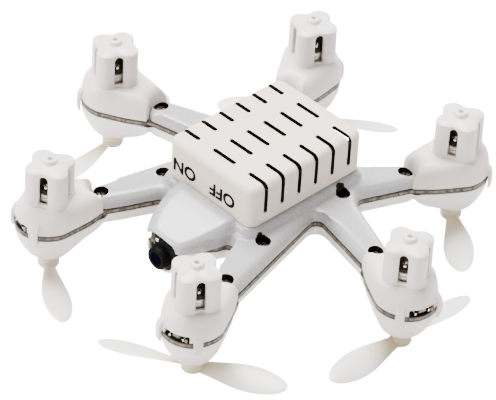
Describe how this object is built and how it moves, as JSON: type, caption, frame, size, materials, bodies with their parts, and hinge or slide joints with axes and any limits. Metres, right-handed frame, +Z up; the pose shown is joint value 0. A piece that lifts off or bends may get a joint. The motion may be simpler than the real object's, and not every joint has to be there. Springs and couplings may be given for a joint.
{
  "type": "hexacopter drone",
  "caption": "Palm-sized camera multicopter: slotted battery cover on a slim branching hub, tall vented motor caps at the arm ends and small propellers below.",
  "frame": {"origin": "centre of the flat belly of the lower shell, straight below the middle of the motor hexagon", "axes": "-Y towards the nose camera, +X towards the vehicle's left, +Z up along the motor axes"},
  "size_m": [0.0942, 0.0923, 0.026],
  "materials": {
    "shell_white": "glossy cool-white moulded shell",
    "cup_white": "glossy warm-white moulded shell",
    "cap_white": "glossy warm-white moulded motor cap",
    "cover_white": "fine matte warm white",
    "propeller_white": "cream, slightly see-through flexible plastic",
    "circuit_board": "olive board edge with copper marks",
    "black_plastic": "black moulded plastic",
    "lens_black": "glossy black lens barrel",
    "motor_steel": "bright drawn steel",
    "motor_plastic": "dark brown motor end cap",
    "cell_foil": "matte laminated foil of a flat lithium cell",
    "connector_white": "white nylon socket",
    "switch_metal": "folded steel switch body",
    "light_chip": "small surface light with bright metal ends",
    "screw_metal": "dark brassy screw"
  },
  "bodies": {
    "airframe": {"upper_shell": "shell_white", "lower_shell": "cup_white", "circuit_board": "circuit_board", "battery_cover": "cover_white", "camera_module": "black_plastic", "camera_lens": "lens_black", "battery_socket": "connector_white", "control_chip": "black_plastic", "switch_body": "switch_metal", "motor_cap_front_left": "cap_white", "motor_can_front_left": "motor_steel", "motor_end_front_left": "motor_plastic", "light_front_left": "light_chip", "motor_cap_mid_left": "cap_white", "motor_can_mid_left": "motor_steel", "motor_end_mid_left": "motor_plastic", "light_mid_left": "light_chip", "motor_cap_rear_left": "cap_white", "motor_can_rear_left": "motor_steel", "motor_end_rear_left": "motor_plastic", "light_rear_left": "light_chip", "motor_cap_rear_right": "cap_white", "motor_can_rear_right": "motor_steel", "motor_end_rear_right": "motor_plastic", "light_rear_right": "light_chip", "motor_cap_mid_right": "cap_white", "motor_can_mid_right": "motor_steel", "motor_end_mid_right": "motor_plastic", "light_mid_right": "light_chip", "motor_cap_front_right": "cap_white", "motor_can_front_right": "motor_steel", "motor_end_front_right": "motor_plastic", "light_front_right": "light_chip", "screw_front_left": "screw_metal", "screw_mid_left": "screw_metal", "screw_rear_left": "screw_metal", "screw_rear_right": "screw_metal", "screw_mid_right": "screw_metal", "screw_front_right": "screw_metal", "screw_hub_front_left": "screw_metal", "screw_hub_rear_left": "screw_metal", "screw_hub_rear_right": "screw_metal", "screw_hub_front_right": "screw_metal"},
    "propeller_front_left": {"propeller_front_left": "propeller_white", "motor_shaft_front_left": "motor_steel"},
    "propeller_mid_left": {"propeller_mid_left": "propeller_white", "motor_shaft_mid_left": "motor_steel"},
    "propeller_rear_left": {"propeller_rear_left": "propeller_white", "motor_shaft_rear_left": "motor_steel"},
    "propeller_rear_right": {"propeller_rear_right": "propeller_white", "motor_shaft_rear_right": "motor_steel"},
    "propeller_mid_right": {"propeller_mid_right": "propeller_white", "motor_shaft_mid_right": "motor_steel"},
    "propeller_front_right": {"propeller_front_right": "propeller_white", "motor_shaft_front_right": "motor_steel"},
    "battery": {"battery": "cell_foil"},
    "switch_knob": {"switch_knob": "black_plastic"}
  },
  "joints": [
    {"name": "spin_front_left", "type": "hinge", "parent": "airframe", "child": "propeller_front_left", "pos_m": [0.02, -0.03464, -0.0055], "axis": [0, 0, 1], "continuous": true},
    {"name": "spin_mid_left", "type": "hinge", "parent": "airframe", "child": "propeller_mid_left", "pos_m": [0.04, 0, -0.0055], "axis": [0, 0, 1], "continuous": true},
    {"name": "spin_rear_left", "type": "hinge", "parent": "airframe", "child": "propeller_rear_left", "pos_m": [0.02, 0.03464, -0.0055], "axis": [0, 0, 1], "continuous": true},
    {"name": "spin_rear_right", "type": "hinge", "parent": "airframe", "child": "propeller_rear_right", "pos_m": [-0.02, 0.03464, -0.0055], "axis": [0, 0, 1], "continuous": true},
    {"name": "spin_mid_right", "type": "hinge", "parent": "airframe", "child": "propeller_mid_right", "pos_m": [-0.04, 0, -0.0055], "axis": [0, 0, 1], "continuous": true},
    {"name": "spin_front_right", "type": "hinge", "parent": "airframe", "child": "propeller_front_right", "pos_m": [-0.02, -0.03464, -0.0055], "axis": [0, 0, 1], "continuous": true},
    {"name": "battery_slide", "type": "slide", "parent": "airframe", "child": "battery", "axis": [0, 1, 0], "range_m": [0, 0.03]},
    {"name": "switch_slide", "type": "slide", "parent": "airframe", "child": "switch_knob", "axis": [-1, 0, 0], "range_m": [0, 0.002]}
  ]
}
